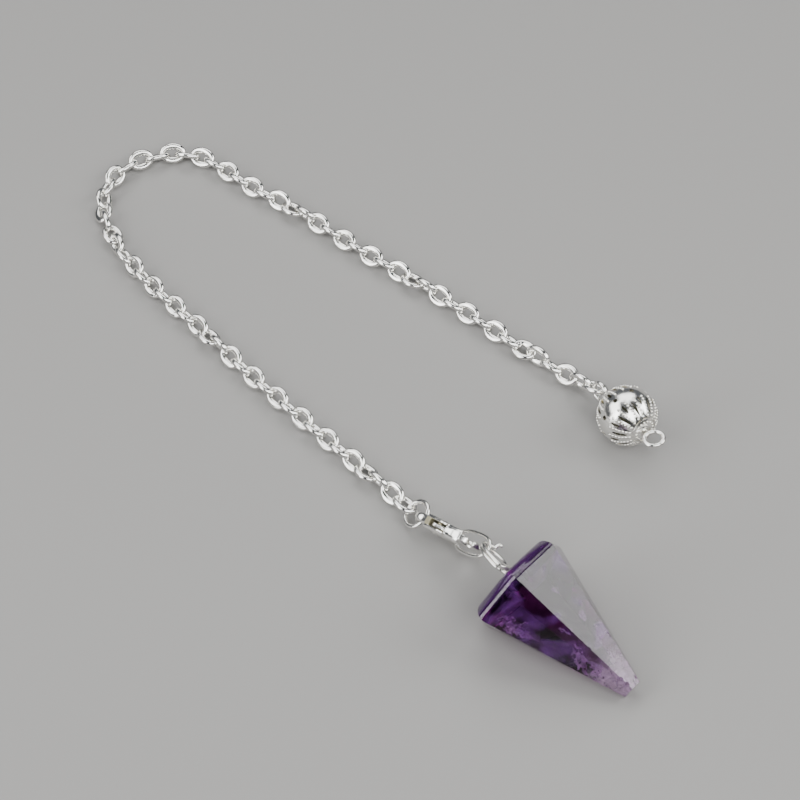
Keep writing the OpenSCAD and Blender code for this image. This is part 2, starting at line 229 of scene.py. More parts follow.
# Amethyst: purple quartz, clear and dark in its body, milky mauve towards its tip. Its clouds
# are about 3 mm across and the crumbs in its tip 0.6 mm. Polished, so it is glossy.
stone_at = Vector((19.607, -34.601, side_off))
stone_turn = (0, stone_taper, -41.8)
amethyst, tree = new_material("polished_amethyst")
place = add(tree, "Mapping", {"Vector": add(tree, "TexCoord").outputs["Object"],
                              "Location": stone_at * MM,
                              "Rotation": [radians(a) for a in stone_turn],
                              "Scale": (MM, MM, MM)}, vector_type="TEXTURE").outputs[0]
along = add(tree, "SeparateXYZ", {0: place}).outputs["X"]
cloud = add(tree, "TexNoise", {"Vector": place, "Scale": 0.30, "Detail": 3, "Roughness": 0.5,
                               "Distortion": 0.5}).outputs[0]
tip = add(tree, "MapRange", {"Value": along, "From Min": 10.0, "From Max": 16.0},
          interpolation_type="SMOOTHSTEP").outputs[0]
crumb = add(tree, "TexNoise", {"Vector": place, "Scale": 1.6, "Detail": 6, "Roughness": 0.65,
                               "Distortion": 0.8}).outputs[0]
tip_milk = add(tree, "Math", {0: tip, 1: crumb}, operation="MULTIPLY").outputs[0]
tip_milk = add(tree, "MapRange", {"Value": tip_milk, "From Min": 0.22, "From Max": 0.66,
                                  "To Max": 0.8}).outputs[0]
haze = add(tree, "MapRange", {"Value": cloud, "From Min": 0.485, "From Max": 0.64,
                              "To Max": 0.6}).outputs[0]
shoulder = add(tree, "MapRange", {"Value": along, "From Min": 0.15, "From Max": -0.9,
                                  "To Max": 0.36}).outputs[0]
milky = add(tree, "Math", {0: tip_milk, 1: haze}, operation="MAXIMUM").outputs[0]
milky = add(tree, "Math", {0: milky, 1: shoulder}, operation="MAXIMUM").outputs[0]
milk = add(tree, "Mix", {"Factor": tip, "A": linear("#5F3078"), "B": linear("#A88EAA")},
           data_type="RGBA").outputs["Result"]
tint = add(tree, "ValToRGB", {0: cloud})
dark, pale = tint.color_ramp.elements
dark.position, dark.color = 0.36, linear("#B088BE")
pale.position, pale.color = 0.62, linear("#DCC3E2")
clear = add(tree, "BsdfPrincipled", {"Base Color": tint.outputs[0], "Roughness": 0.03,
                                     "IOR": 1.544, "Transmission Weight": 1.0})
cloudy = add(tree, "BsdfPrincipled", {"Base Color": milk, "Roughness": 0.06, "IOR": 1.544,
                                      "Transmission Weight": 0.25, "Subsurface Weight": 0.6,
                                      "Subsurface Radius": (0.0012, 0.0007, 0.0014)})
quartz = add(tree, "MixShader", {0: milky, 1: clear.outputs[0], 2: cloudy.outputs[0]})
depth = add(tree, "VolumeAbsorption", {"Color": (0.64, 0.10, 0.60, 1), "Density": 380.0})
add(tree, "OutputMaterial", {"Surface": quartz.outputs[0], "Volume": depth.outputs[0]})

stone_place = placed(stone_at, *stone_turn)
stone_piece = make_piece("stone_point", stone_mesh, stone_place, amethyst, sharp=50)
smooth = stone_piece.modifiers.new("flat_facets", "WEIGHTED_NORMAL")
smooth.keep_sharp = True
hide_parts("stone")

# Films inside the stone: how far under its sides they end, how thick they are, how finely
# they are drawn, and how much of each is left
film_cover, film_thick, film_steps, film_left = 0.2, 0.025, 46, 0.42
# How much their edges are frayed and their sheets bent, and the worth of a point cut away
film_fray, film_bend, film_gone = 1.5, 0.22, -9
# A ring-shaped film: how far out its middle is, and how far it reaches to each side
ring_middle, ring_reach = 0.72, 0.26


def veil(at, ahead, up, wide, tall, seed, ring=False):
    """The crumpled film of a healed crack, ragged and full of gaps, as a thin closed solid
    that ends short of the stone's polished sides."""
    ahead = Vector(ahead).normalized()
    up = (Vector(up) - Vector(up).dot(ahead) * ahead).normalized()
    out = ahead.cross(up)
    bm = bmesh.new()
    bmesh.ops.create_grid(bm, x_segments=film_steps,
                          y_segments=max(8, round(film_steps * tall / wide)), size=1)
    keep = {}
    for v in bm.verts:
        u, w = v.co.x, v.co.y
        r = hypot(u, w)
        lace = noise.fractal(Vector((u * wide, w * tall, seed * 3.3)) * 1.3, 0.5, 2.1, 5)
        whole = 1 - abs(r - ring_middle) / ring_reach if ring else 1 - r * r
        keep[v] = whole + film_fray * lace
        bend = noise.fractal(Vector((u * 1.2, w * 1.2, seed)), 0.9, 2.0, 4)
        v.co = (Vector(at) + u * wide / 2 * ahead + w * tall / 2 * up
                + film_bend * min(wide, tall) * bend * out)
        if any(v.co.dot(facet_normal(turn)) > side_off - film_cover for turn in facet_turns):
            keep[v] = film_gone
    gone = [f for f in bm.faces if sum(keep[v] for v in f.verts) / len(f.verts) < film_left]
    bmesh.ops.delete(bm, geom=gone, context="FACES")
    bmesh.ops.solidify(bm, geom=bm.faces[:], thickness=film_thick)
    bm.verts.index_update()
    return listed(bm)


films = mesh_of(
    "films",
    veil((3.6, -4.25, 1.35), (0.5, 0.8, 0.3), (0.2, -0.2, 1), 1.8, 1.1, 1),
    veil((3.2, -5.2, 0.3), (1, 0.3, 0.2), (0, 0.5, 0.9), 2.2, 1.3, 2),
    veil((5.4, -4.1, 0.3), (1, 0.4, -0.2), (0, -0.6, 0.8), 2.6, 0.7, 3),
    veil((7.9, -2.0, 3.0), (1, 0.35, -0.1), (0.1, -0.5, 0.9), 1.9, 1.5, 4, ring=True),
    veil((11.4, -2.0, 0.5), (0.85, -0.15, -0.7), (0, 1, 0.2), 4.4, 1.7, 5),
    veil((13.3, -1.5, 1.1), (1, 0.3, -0.2), (0, -0.6, 0.8), 4.6, 1.8, 6),
    veil((15.6, -1.0, 0.4), (1, 0.2, -0.3), (0, -0.5, 0.9), 3.0, 1.2, 7),
    veil((1.4, -5.6, 1.5), (0.6, 0.4, 0.6), (0.3, -0.8, 0.4), 1.6, 0.8, 8),
    veil((2.4, -4.7, 0.1), (0.9, 0.3, -0.3), (0, 0.6, 0.8), 3.0, 2.2, 11),
    veil((4.3, -4.3, 0.0), (1, 0.3, 0.1), (0, 0.6, 0.8), 2.4, 1.4, 12),
    veil((14.4, -1.5, 0.4), (1, 0.2, 0), (0, 0.6, 0.8), 4.2, 2.2, 13),
    veil((16.9, -0.4, 0.9), (1, 0.1, 0), (0, 0.6, 0.8), 2.4, 1.6, 14),
    veil((3.8, 0.0, 4.9), (0.8, 0.4, -0.2), (0, 0.7, 0.5), 1.2, 0.8, 9),
    veil((8.2, 0.7, 3.5), (0.9, -0.3, -0.3), (0.2, 0.8, 0.3), 1.5, 0.9, 10),
)
# Healed cracks: pale silvery films of tiny bubbles, half clear, that catch the light
healed, tree = new_material("healed_crack")
film = add(tree, "BsdfPrincipled", {"Base Color": linear("#E9E1F2"), "Roughness": 0.25,
                                    "Metallic": 0.35})
thin = add(tree, "BsdfTransparent", {"Color": linear("#F4EEFA")})
both = add(tree, "MixShader", {0: 0.55, 1: thin.outputs[0], 2: film.outputs[0]})
add(tree, "OutputMaterial", {"Surface": both.outputs[0]})
make_piece("stone_films", films, stone_place, healed)

# Bail
# Round silver-plated wire. Its shank is cemented in the stone's hole, and the
# rest is wound into a long coil of less than two turns, with the tail bent up.
bail_wire, bail_length, bail_width, bail_neck = 0.5, 5.1, 2.3, 1.0
bail_turns, bail_start, bail_gap = 1.6, 0.07, 0.03
shank_end, shank_bend = 0.9, 0.2
bail_way = Vector((-0.90, 0.27, -0.42)).normalized()
bail_near = Vector((-0.41, -0.60, 0.47))
bail_tail = ((0.53, 0.05, 0.14), (0.64, 0.41, 0.37), (0.82, 0.63, 0.57), (1.11, 0.64, 0.44))


def curve_through(points, steps):
    """A smooth curve through the points, with this many steps between two of them."""
    p = np.array([tuple(q) for q in points], float)
    ends = np.vstack([p[:1], p, p[-1:]])
    t = (np.arange(steps) / steps)[:, None]
    made = [0.5 * (2 * b + (c - a) * t + (2 * a - 5 * b + 4 * c - d) * t ** 2
                   + (3 * b - a - 3 * c + d) * t ** 3)
            for a, b, c, d in zip(ends, ends[1:], ends[2:], ends[3:])]
    return np.vstack(made + [p[-1:]])


def wire(path, radius, sides=14, closed=False, side=(0, 0, 1)):
    """Vertices and faces of round wire along a path. Cut ends are a little rounded."""
    end_out, end_narrow = 0.22, 0.8
    path = np.asarray(path, float)
    radii = np.full(len(path), radius) if np.isscalar(radius) else np.asarray(radius, float)
    if not closed:
        ends = [path[0] - path[1], path[-1] - path[-2]]
        ends = [e / np.linalg.norm(e) * radii[0] * end_out for e in ends]
        path = np.vstack([path[0] + ends[0], path, path[-1] + ends[1]])
        radii = np.concatenate([[radii[0] * end_narrow], radii, [radii[-1] * end_narrow]])
    ahead = np.roll(path, -1, 0) - np.roll(path, 1, 0)
    if not closed:
        ahead[0], ahead[-1] = path[1] - path[0], path[-1] - path[-2]
    ahead /= np.linalg.norm(ahead, axis=1)[:, None]
    across, s = [], np.array(side, float)
    for t in ahead:
        s = s - (s @ t) * t
        s /= np.linalg.norm(s)
        across.append(s)
    across = np.array(across)
    up = np.cross(ahead, across)
    a = 2 * pi * np.arange(sides) / sides
    ring = np.cos(a)[None, :, None] * across[:, None] + np.sin(a)[None, :, None] * up[:, None]
    verts = path[:, None] + radii[:, None, None] * ring
    n = len(path)
    faces = []
    for i in range(n if closed else n - 1):
        this, following = i * sides, (i + 1) % n * sides
        for k in range(sides):
            m = (k + 1) % sides
            faces.append((this + k, this + m, following + m, following + k))
    if not closed:
        faces += [tuple(reversed(range(sides))), tuple((n - 1) * sides + k for k in range(sides))]
    return verts.reshape(-1, 3), faces


near = (bail_near - bail_near.dot(bail_way) * bail_way).normalized()
step = bail_way.cross(near)
neck = Vector((-shoulder_height, 0, 0)) + bail_neck * bail_way
coil = [neck + bail_length / 2 * (1 - cos(2 * pi * t)) * bail_way
        + bail_width / 2 * sin(2 * pi * t) * near + (bail_wire + bail_gap) * (t - 0.5) * step
        for t in np.linspace(bail_start, bail_turns, 24).tolist()]
shank = [Vector((x, 0, 0)) for x in (shank_end, 0, shank_bend - shoulder_height)]
tail = [coil[-1] + Vector(offset) for offset in bail_tail]
bail_line = curve_through(shank + coil + tail, 4)
bail_mesh = mesh_of("bail_wire", wire(bail_line, bail_wire / 2, side=tuple(step)))

# Bright silver plate over brass: nearly white, mirror bright, with the fine
# scuffs of tumbling, which are drawn at 0.3 mm, a little coarser than they are.
silver, tree = new_material("bright_silver_plate")
place = add(tree, "Mapping", {"Vector": add(tree, "TexCoord").outputs["Object"],
                              "Scale": (1 / MM, 1 / MM, 1 / MM)}).outputs[0]
scuff = add(tree, "TexNoise", {"Vector": place, "Scale": 3.5, "Detail": 4,
                               "Roughness": 0.6}).outputs[0]
rough = add(tree, "MapRange", {"Value": scuff, "From Min": 0.3, "From Max": 0.7,
                               "To Min": 0.13, "To Max": 0.22}).outputs[0]
dent = add(tree, "Bump", {"Height": scuff, "Strength": 0.04, "Distance": 0.0001}).outputs[0]
tone = add(tree, "ValToRGB", {0: scuff})
dark, pale = tone.color_ramp.elements
dark.position, dark.color = 0.3, linear("#DEDDD9")
pale.position, pale.color = 0.7, linear("#F4F3EF")
plate = add(tree, "BsdfPrincipled", {"Base Color": tone.outputs[0], "Metallic": 1.0,
                                     "Roughness": rough, "Normal": dent})
add(tree, "OutputMaterial", {"Surface": plate.outputs[0]})

bail_piece = make_piece("bail_coil", bail_mesh, stone_place, silver)
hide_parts("bail")

# Oval ring
# A ring of round silver-plated wire, bent to an oval with its ends pressed
# together. It joins the bail to the clasp's hook, and stands square to the clasp.
oval_wire, oval_length, oval_width = 0.5, 6.6, 3.5
oval_fullness, oval_seam_x, wire_gap = 2.5, 0.33, 0.05
clasp_place = placed((6.95, -20.8, 2.15), 119, -8, -39)
oval_hold, oval_way, oval_roll = (6.85, 0.31, 0.08), Vector((0.93, 0.36, -0.055)).normalized(), 86


def ring_line(long_r, short_r, fullness, seam_x, gap, count):
    """Points round an oval from one side of its seam to the other. One fuller than 2 is
    squarer than an ellipse."""
    turn = np.linspace(0, 2 * pi, 721) - acos((seam_x / long_r) ** (fullness / 2))
    sweeps = ((long_r, np.cos(turn)), (short_r, np.sin(turn)))
    x, y = (r * np.sign(c) * np.abs(c) ** (2 / fullness) for r, c in sweeps)
    along = np.concatenate([[0], np.cumsum(np.hypot(np.diff(x), np.diff(y)))])
    spots = np.linspace(gap / 2, along[-1] - gap / 2, count)
    return np.stack([np.interp(spots, along, x), np.interp(spots, along, y), 0 * spots], 1)


oval_long_r, oval_short_r = (oval_length - oval_wire) / 2, (oval_width - oval_wire) / 2
oval_line = ring_line(oval_long_r, oval_short_r, oval_fullness, oval_seam_x, wire_gap, 90)
oval_mesh = mesh_of("oval_wire", wire(oval_line, oval_wire / 2))
oval_turn = (Matrix.Rotation(atan2(oval_way.y, oval_way.x), 4, "Z")
             @ Matrix.Rotation(-asin(oval_way.z), 4, "Y")
             @ Matrix.Rotation(radians(oval_roll), 4, "X"))
oval_place = (clasp_place @ Matrix.Translation(oval_hold) @ oval_turn
              @ Matrix.Translation((oval_long_r, 0, 0)))
oval_piece = make_piece("oval_ring_wire", oval_mesh, oval_place, silver)
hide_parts("oval_ring")

# Clasp
# A lobster clasp cast in brass, tumbled until its edges are soft, and silver
# plated. The lever sits between two cheeks on a pin whose ends are riveted over.
clasp_thick, clasp_pin_r, pivot = 2.0, 0.35, Vector((4.0, 0.75, 0))
eye_r, eye_hole_r, cheek_end = 1.3, 0.75, 5.7
hook_r, hook_hole_r, hook_x, hook_off = 2.8, 1.7, 7.8, 0.05
# The slot for the lever: half its width, and where it starts
slot_half, slot_start = 0.5, 2.25
# The lever's back is cast a little proud between the cheeks, and nearly fills the slot: by
# how much, how far from the pin in full, how far past the cheeks, and how it fades there
back_rise, rise_from_pin, rise_past, rise_fade = 0.42, 0.8, 0.3, 0.6


def depth_inside(x, y):
    """How far a point of the clasp lies inside its outline, and outside its two round holes."""
    step = hook_x - eye_r
    b = (eye_r - hook_r) / step
    a = sqrt(1 - b * b)
    px, py = abs(y), x - eye_r
    if a * py - b * px < 0:
        edge = eye_r - hypot(px, py)
    elif a * py - b * px > a * step:
        edge = hook_r - hypot(px, py - step)
    else:
        edge = eye_r - a * px - b * py
    hook_hole = hypot(x - hook_x - hook_off, y + hook_off) - hook_hole_r
    return edge, min(hook_hole, hypot(x - eye_r, y) - eye_hole_r)


def tumbled(node, fine, zones):
    """A cast piece's mesh in the clasp's frame. Each zone, up to an x, has its half thickness
    inside and at the edge, how wide the round of its edges is there and at the holes, and
    how much less it reaches to the back."""
    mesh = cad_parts[node].data.copy()
    mesh.transform(clasp_place.inverted())
    for last in (False, True):
        blank = bpy.data.objects.new("casting", mesh)
        bpy.context.scene.collection.objects.link(blank)
        grid = blank.modifiers.new("grid", "REMESH")
        grid.mode, grid.voxel_size, grid.use_smooth_shade = "VOXEL", fine, True
        soft = blank.modifiers.new("soft", "SMOOTH")
        soft.factor, soft.iterations = 0.5, 12 if last else 5
        bpy.context.view_layer.update()
        view = bpy.context.evaluated_depsgraph_get()
        mesh = bpy.data.meshes.new_from_object(blank.evaluated_get(view))
        bpy.data.objects.remove(blank)
        if not last:
            for v in mesh.vertices:
                thick, thin, edge_round, hole_round, less = next(z[1:] for z in zones
                                                                 if v.co.x < z[0])
                edge, hole = depth_inside(v.co.x, v.co.y)
                inward = max(0.0, min(1.0, edge / edge_round, hole / hole_round))
                allowed = thin + (thick - thin) * sqrt(1 - (1 - inward) ** 2)
                v.co.z = max(less - allowed, min(allowed, v.co.z))
    return mesh


# The same plate over a casting: a little softer than on drawn wire, and with painted shade, a
# darker yellowish grey, in its tight corners. Its scuffs are 0.5 mm, again drawn coarser than they
# are.
cast_silver, tree = new_material("silver_plated_casting")
place = add(tree, "Mapping", {"Vector": add(tree, "TexCoord").outputs["Object"],
                              "Scale": (1 / MM, 1 / MM, 1 / MM)}).outputs[0]
# Painted shade: an occlusion mask that turns the colour to a darker yellowish grey in tight corners
painted_corner_shade = add(tree, "AmbientOcclusion", {"Distance": 0.0006}, samples=6).outputs["AO"]
scuff = add(tree, "TexNoise", {"Vector": place, "Scale": 2.2, "Detail": 5,
                               "Roughness": 0.6}).outputs[0]
dent = add(tree, "Bump", {"Height": scuff, "Strength": 0.08, "Distance": 0.0001}).outputs[0]
# The ramp's dark end is the painted shade in the corners, and its pale end is the plate's own
# colour
tone = add(tree, "ValToRGB", {0: painted_corner_shade})
dark, pale = tone.color_ramp.elements
dark.position, dark.color = 0.25, linear("#968D6E")
pale.position, pale.color = 0.85, linear("#F2F1ED")
rough = add(tree, "MapRange", {"Value": scuff, "From Min": 0.3, "From Max": 0.7,
                               "To Min": 0.14, "To Max": 0.26}).outputs[0]
plate = add(tree, "BsdfPrincipled", {"Base Color": tone.outputs[0], "Metallic": 1.0,
                                     "Roughness": rough, "Normal": dent})
add(tree, "OutputMaterial", {"Surface": plate.outputs[0]})

# Bare brass where the plate hardly reaches, as in the slot for the lever: dull, stained
# in patches of 0.7 mm, and yellowish grey.
dull, tree = new_material("dull_brass")
place = add(tree, "Mapping", {"Vector": add(tree, "TexCoord").outputs["Object"],
                              "Scale": (1 / MM, 1 / MM, 1 / MM)}).outputs[0]
stain = add(tree, "TexNoise", {"Vector": place, "Scale": 1.5, "Detail": 4}).outputs[0]
tone = add(tree, "ValToRGB", {0: stain})
dark, pale = tone.color_ramp.elements
dark.color, pale.color = linear("#7F7A62"), linear("#B0AA90")
brass = add(tree, "BsdfPrincipled", {"Base Color": tone.outputs[0], "Metallic": 0.4,
                                     "Roughness": 0.55})
add(tree, "OutputMaterial", {"Surface": brass.outputs[0]})

beyond = 99
body_zones = ((2.3, 0.75, 0.1, 0.7, 0.35, 0),
              (cheek_end, 1.0, 0.72, 0.4, 0.3, 0),
              (beyond, 0.55, 0.1, 0.55, 0.45, 0))
lever_zones = ((cheek_end, 0.4, 0.3, 0.2, 0.3, 0.22),
               (beyond, 1.0, 0.3, 0.7, 0.4, 0))
for name, node, body, fine, zones in (
        ("clasp_casting", "clasp_body", "pendant", 0.06, body_zones),
        ("lever_casting", "clasp_lever", "lever", 0.05, lever_zones)):
    casting = tumbled(node, fine, zones)
    if body == "lever":
        for v in casting.vertices:
            rise = min(1.0, (v.co.y - pivot.y) / rise_from_pin,
                       (cheek_end + rise_past - v.co.x) / rise_fade)
            v.co.y += back_rise * max(0.0, rise)
    piece = make_piece(name, casting, clasp_place, cast_silver, body=body, sharp=80)
    piece.data.materials.append(dull)
    for f in piece.data.polygons:
        across, ahead = (clasp_place.inverted() @ f.center).zx
        in_slot = abs(across) < slot_half and slot_start < ahead < cheek_end
        if name == "clasp_casting" and in_slot:
            f.material_index = 1
    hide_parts(node)

# The pin's ends are hammered to low round heads, a quarter wider than the pin
head_wide, head_low, head_set = 1.25, 0.35, 0.04
rivet = bmesh.new()
bmesh.ops.create_cone(rivet, cap_ends=True, segments=32, radius1=clasp_pin_r,
                      radius2=clasp_pin_r, depth=clasp_thick)
for end in (-1, 1):
    head = Matrix.Translation((0, 0, end * (clasp_thick / 2 - head_set)))
    bmesh.ops.create_uvsphere(rivet, u_segments=24, v_segments=12, radius=clasp_pin_r * head_wide,
                              matrix=head @ Matrix.Diagonal((1, 1, head_low, 1)))
rivet_mesh = bpy.data.meshes.new("rivet")
rivet.to_mesh(rivet_mesh)
rivet_place = clasp_place @ Matrix.Translation(pivot)
rivet_piece = make_piece("clasp_rivet", rivet_mesh, rivet_place, cast_silver)
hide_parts("clasp_pin")

# Round ring
# A jump ring of heavier round wire, silver plated like the others, sawn and
# pressed shut. It goes through the clasp's eye and the chain's last link.
jump_wire, jump_across, jump_hang = 0.65, 4.2, 0.05
jump_lean, jump_swing = -6, 18
jump_r = (jump_across - jump_wire) / 2
saw = wire_gap / jump_r
jump_line = [(jump_r * cos(a), jump_r * sin(a), 0)
             for a in np.linspace(saw / 2, 2 * pi - saw / 2, 80)]
jump_mesh = mesh_of("jump_wire", wire(jump_line, jump_wire / 2, 16))
jump_turn = (Matrix.Rotation(radians(jump_lean), 4, "Y")
             @ Matrix.Rotation(radians(jump_swing), 4, "Z")
             @ Matrix.Rotation(radians(90), 4, "X"))
jump_place = (clasp_place @ Matrix.Translation((eye_r, 0, 0)) @ jump_turn
              @ Matrix.Translation((-jump_r - jump_hang, 0, 0)))
jump_piece = make_piece("jump_ring_wire", jump_mesh, jump_place, silver)
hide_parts("jump_ring")

# Chain
# Cable chain: 67 short oval links of round wire, each passed through the last
# and brazed shut at one side, then silver plated. It lies as it fell, with its
# links on edge by turns, and rolls over by a quarter here and there.
link_wire, link_length, link_width = 0.76, 3.9, 3.0
# The wire is pressed flatter inside a link's long sides: how much, and how far along them
link_flat, link_flat_reach = 0.55, 1.3
link_count, link_pitch = 67, (2.15, 2.44)
# A link's seam: where it is, the braze's swelling and its width, the groove and its width
braze_at, swelling, swelling_wide, groove, groove_wide = 0.10, 0.07, 0.018, 0.05, 0.006
# How high the middles of the flat, the first and the last links are
flat_lift, first_lifts, last_lift = 0.95, (2.5, 1.85, 1.4), 1.17
# Where some of the links lie: the link's number, x and y
link_spots = (
    (1, 30.8, 0.2), (2, 29.0, 2.2), (3, 26.9, 4.1), (5, 23.0, 7.2), (6, 21.0, 8.7),
    (8, 17.2, 11.6), (10, 13.6, 15.05), (12, 10.0, 18.6), (13, 8.0, 20.2), (15, 4.2, 22.95),
    (17, 0.3, 25.8), (19, -3.5, 28.9), (21, -7.05, 32.2), (22, -9.05, 33.9), (23, -11.0, 35.4),
    (24, -12.9, 36.8), (26, -16.8, 39.35), (28, -20.4, 42.7), (30, -24.0, 45.3),
    (32, -28.4, 46.2), (34, -32.9, 44.8), (35, -34.75, 43.4), (36, -36.4, 41.6),
    (37, -37.5, 39.05), (38, -37.7, 36.8), (39, -37.6, 34.2), (40, -36.9, 32.0),
    (41, -35.9, 29.9), (42, -35.0, 27.4), (43, -33.75, 25.5), (44, -32.5, 23.7),
    (45, -31.0, 21.8), (46, -29.6, 19.9), (47, -28.1, 18.15), (48, -26.5, 16.4),
    (49, -24.9, 14.6), (50, -23.3, 12.9), (51, -21.7, 11.1), (52, -20.0, 9.35),
    (53, -18.5, 7.4), (55, -15.35, 3.5), (57, -12.0, -0.1), (59, -8.6, -3.6), (61, -5.2, -7.3),
    (63, -1.7, -10.4), (64, 0.0, -12.2), (65, 1.7, -14.0), (66, 3.4, -16.0), (67, 5.48, -18.32),
)
# The roll that the chain has picked up by each of these links, in degrees
link_rolls = ((1, -25), (2, -57), (3, -90), (4, -90), (7, -180), (12, -180), (15, -90),
              (21, -90), (24, 0), (38, 0), (43, -90), (50, -90), (53, 0), (63, 0), (66, 90),
              (67, 110))

number, spot_x, spot_y = np.array(link_spots, float).T
count = np.arange(1, link_count + 1)
roll = np.interp(count, *np.array(link_rolls, float).T) + np.where(count % 2 == 0, -45, 45)
wobble = np.random.default_rng(7).uniform(-5, 5, link_count)
wobble[[0, -1]] = 0
roll += wobble
# A link on edge rests on the floor, a flat one on its neighbours, and the links at the ends
# hang from the ball's loop and the round ring
on_edge = np.abs(np.sin(np.radians(roll))) * (link_width - link_wire) / 2 + link_wire / 2
lift = np.maximum(on_edge, flat_lift)
lift[:3], lift[-1] = first_lifts, last_lift
spots = np.stack([np.interp(count, number, spot_x), np.interp(count, number, spot_y), lift], 1)
# Links too near to each other or too far apart are eased along the chain
for _ in range(400):
    apart = spots[1:] - spots[:-1]
    gap = np.linalg.norm(apart, axis=1)
    pull = (np.maximum(gap - link_pitch[1], 0) + np.minimum(gap - link_pitch[0], 0)) / gap / 2
    shift = apart * pull[:, None] * (1, 1, 0)
    spots[1:-1] += shift[1:] - shift[:-1]

# One link: an oval, with a small swelling and a groove where it is brazed
long_r, short_r = (link_length - link_wire) / 2, (link_width - link_wire) / 2
round_link = np.linspace(0, 1, 56, endpoint=False)
line = [(long_r * sin(2 * pi * t), short_r * cos(2 * pi * t), 0) for t in round_link.tolist()]
from_braze = round_link - braze_at
braze = (1 + swelling * np.exp(-(from_braze / swelling_wide) ** 2)
         - groove * np.exp(-(from_braze / groove_wide) ** 2))
verts, faces = wire(line, link_wire / 2 * braze, 14, closed=True)
for v in verts:
    inward = short_r * sqrt(max(0.0, 1 - (v[0] / long_r) ** 2)) - abs(v[1])
    if inward > 0:
        pressed = link_flat * inward * max(0.0, 1 - (v[0] / link_flat_reach) ** 2)
        v[1] -= copysign(pressed, v[1])
links = []
for k in range(link_count):
    ahead = Vector(spots[min(k + 1, link_count - 1)] - spots[max(k - 1, 0)]).normalized()
    side = ahead.cross(Vector((0, 0, 1))).normalized()
    up = side.cross(ahead)
    a = radians(roll[k])
    flat = cos(a) * up + sin(a) * side
    turn = np.array([ahead, flat.cross(ahead), flat])
    links.append((verts @ turn + spots[k], faces))
chain_mesh = mesh_of("chain_links", *links)
chain_piece = make_piece("chain_links", chain_mesh, Matrix.Scale(MM, 4), silver)
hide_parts("chain")

# Eye pin
# One silver-plated wire through the ball, turned to a small loop that holds the
# chain at one end and to a free ring at the other, each closed against its neck.
pin_wire, loop_across, ball_across = 0.6, 3.1, 8.0
ball_place = placed((34.501, -5.85, 4.0), 0, -9, -56)
end_neck, small_neck, loop_gap = 0.1, 0.3, 0.07
loop_r = (loop_across - pin_wire) / 2
end_ring_x = ball_across / 2 + end_neck + loop_across / 2
small_loop_x = -(ball_across / 2 + small_neck + loop_across / 2)


def loop_line(x, r, turn, start):
    """A nearly closed loop of wire round a point on the pin's axis, turned about that axis."""
    a = np.radians(start) + np.linspace(loop_gap / 2, 2 * pi - loop_gap / 2, 64)
    t = radians(turn)
    return np.stack([x + r * np.cos(a), r * np.sin(a) * cos(t), r * np.sin(a) * sin(t)], 1)


pin_mesh = mesh_of(
    "pin_wire",
    wire(loop_line(end_ring_x, loop_r, 5, -34), pin_wire / 2, 16, side=(0, 0.1, 1)),
    wire(loop_line(small_loop_x, loop_r, 80, 60), pin_wire / 2, 16, side=(0, 1, 0.1)),
    wire([(small_loop_x + loop_r, 0, 0), (0, 0, 0), (end_ring_x - loop_r, 0, 0)], pin_wire / 2, 16),
)
pin_piece = make_piece("eye_pin_wire", pin_mesh, ball_place, silver)
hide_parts("eye_pin")

# Ball
# A hollow bead of two fluted cups of thin brass, soldered rim to rim. Long and short drops
# are pierced by turns between the flutes, with rows of grains beside them. Silver plated.
ball_r, sheet, flutes, flute_depth = 3.9, 0.3, 18, 0.05
first_drop, hole_r, hole_lat = 96, 4.6, -2
# The flutes' latitudes, and over how many degrees they fade out
flute_from, flute_to, flute_fade = 14, 62, 8
# The rows of grains: first and last latitude and the step, and the ring of them round the pole
grain_r, grain_rows = 0.2, (17, 60, 6.6)
pole_grains, pole_lat, pole_sunk, pole_grain_r = 16, 70, 0.02, 0.19
# Each drop: from and to which latitude it reaches, and how wide it is, in degrees
drops = ((22, 52, 3.3), (16, 35, 3.0))
# Each bead wire round the pole: its latitude, how proud it stands, its radius and its steps
collars = ((63, 0.03, 0.08, 6), (78, -0.02, 0.10, 12))


def on_ball(lon, lat, r=1.0):
    """A point of the ball: lat runs along the pin's axis and lon round it, in degrees."""
    a, b = radians(lon), radians(lat)
    return np.array((sin(b), cos(b) * cos(a), cos(b) * sin(a))) * r


def fluted(lon, lat, r):
    """The radius of the fluted cup, which is plain at its rim and round its pole."""
    lat = abs(lat)
    rise = max(0.0, min(1.0, (lat - flute_from) / flute_fade, (flute_to - lat) / flute_fade))
    return r + flute_depth * (0.5 - 0.5 * cos(radians(flutes * (lon - first_drop)))) * rise


def cup(r, around=216, up=90):
    """A closed fluted sphere about the pin's axis."""
    lons = [360 * k / around for k in range(around)]
    pairs = [(k, (k + 1) % around) for k in range(around)]
    verts = [on_ball(0, -90, r)]
    for j in range(1, up):
        lat = -90 + 180 * j / up
        verts += [on_ball(lon, lat, fluted(lon, lat, r)) for lon in lons]
    verts.append(on_ball(0, 90, r))
    faces = [(0, 1 + m, 1 + k) for k, m in pairs]
    for j in range(up - 2):
        low, high = 1 + j * around, 1 + (j + 1) * around
        faces += [(low + k, low + m, high + m, high + k) for k, m in pairs]
    top = 1 + (up - 2) * around
    return verts, faces + [(top + k, top + m, len(verts) - 1) for k, m in pairs]


def drop(lon, low, high, width, half, count=18):
    """A drop's outline on one half of the ball, with its point towards the pole."""
    made = []
    for t in np.linspace(0, 2 * pi, count, endpoint=False).tolist():
        lat = (low + high) / 2 - (high - low) / 2 * cos(t)
        wide = width * sin(t) * cos(t / 4 - pi / 4) ** 0.5 * (1.15 - lat / 140) / cos(radians(lat))
        made.append((lon + wide, half * lat))
    return made


def plug(outline):
    """A prism through the shell over an outline of the ball."""
    n = len(outline)
    verts = [on_ball(*p, r=r) for r in (ball_r - 2 * sheet, ball_r + sheet) for p in outline]
    faces = [(k, (k + 1) % n, n + (k + 1) % n, n + k) for k in range(n)]
    return verts, faces + [tuple(reversed(range(n))), tuple(range(n, 2 * n))]


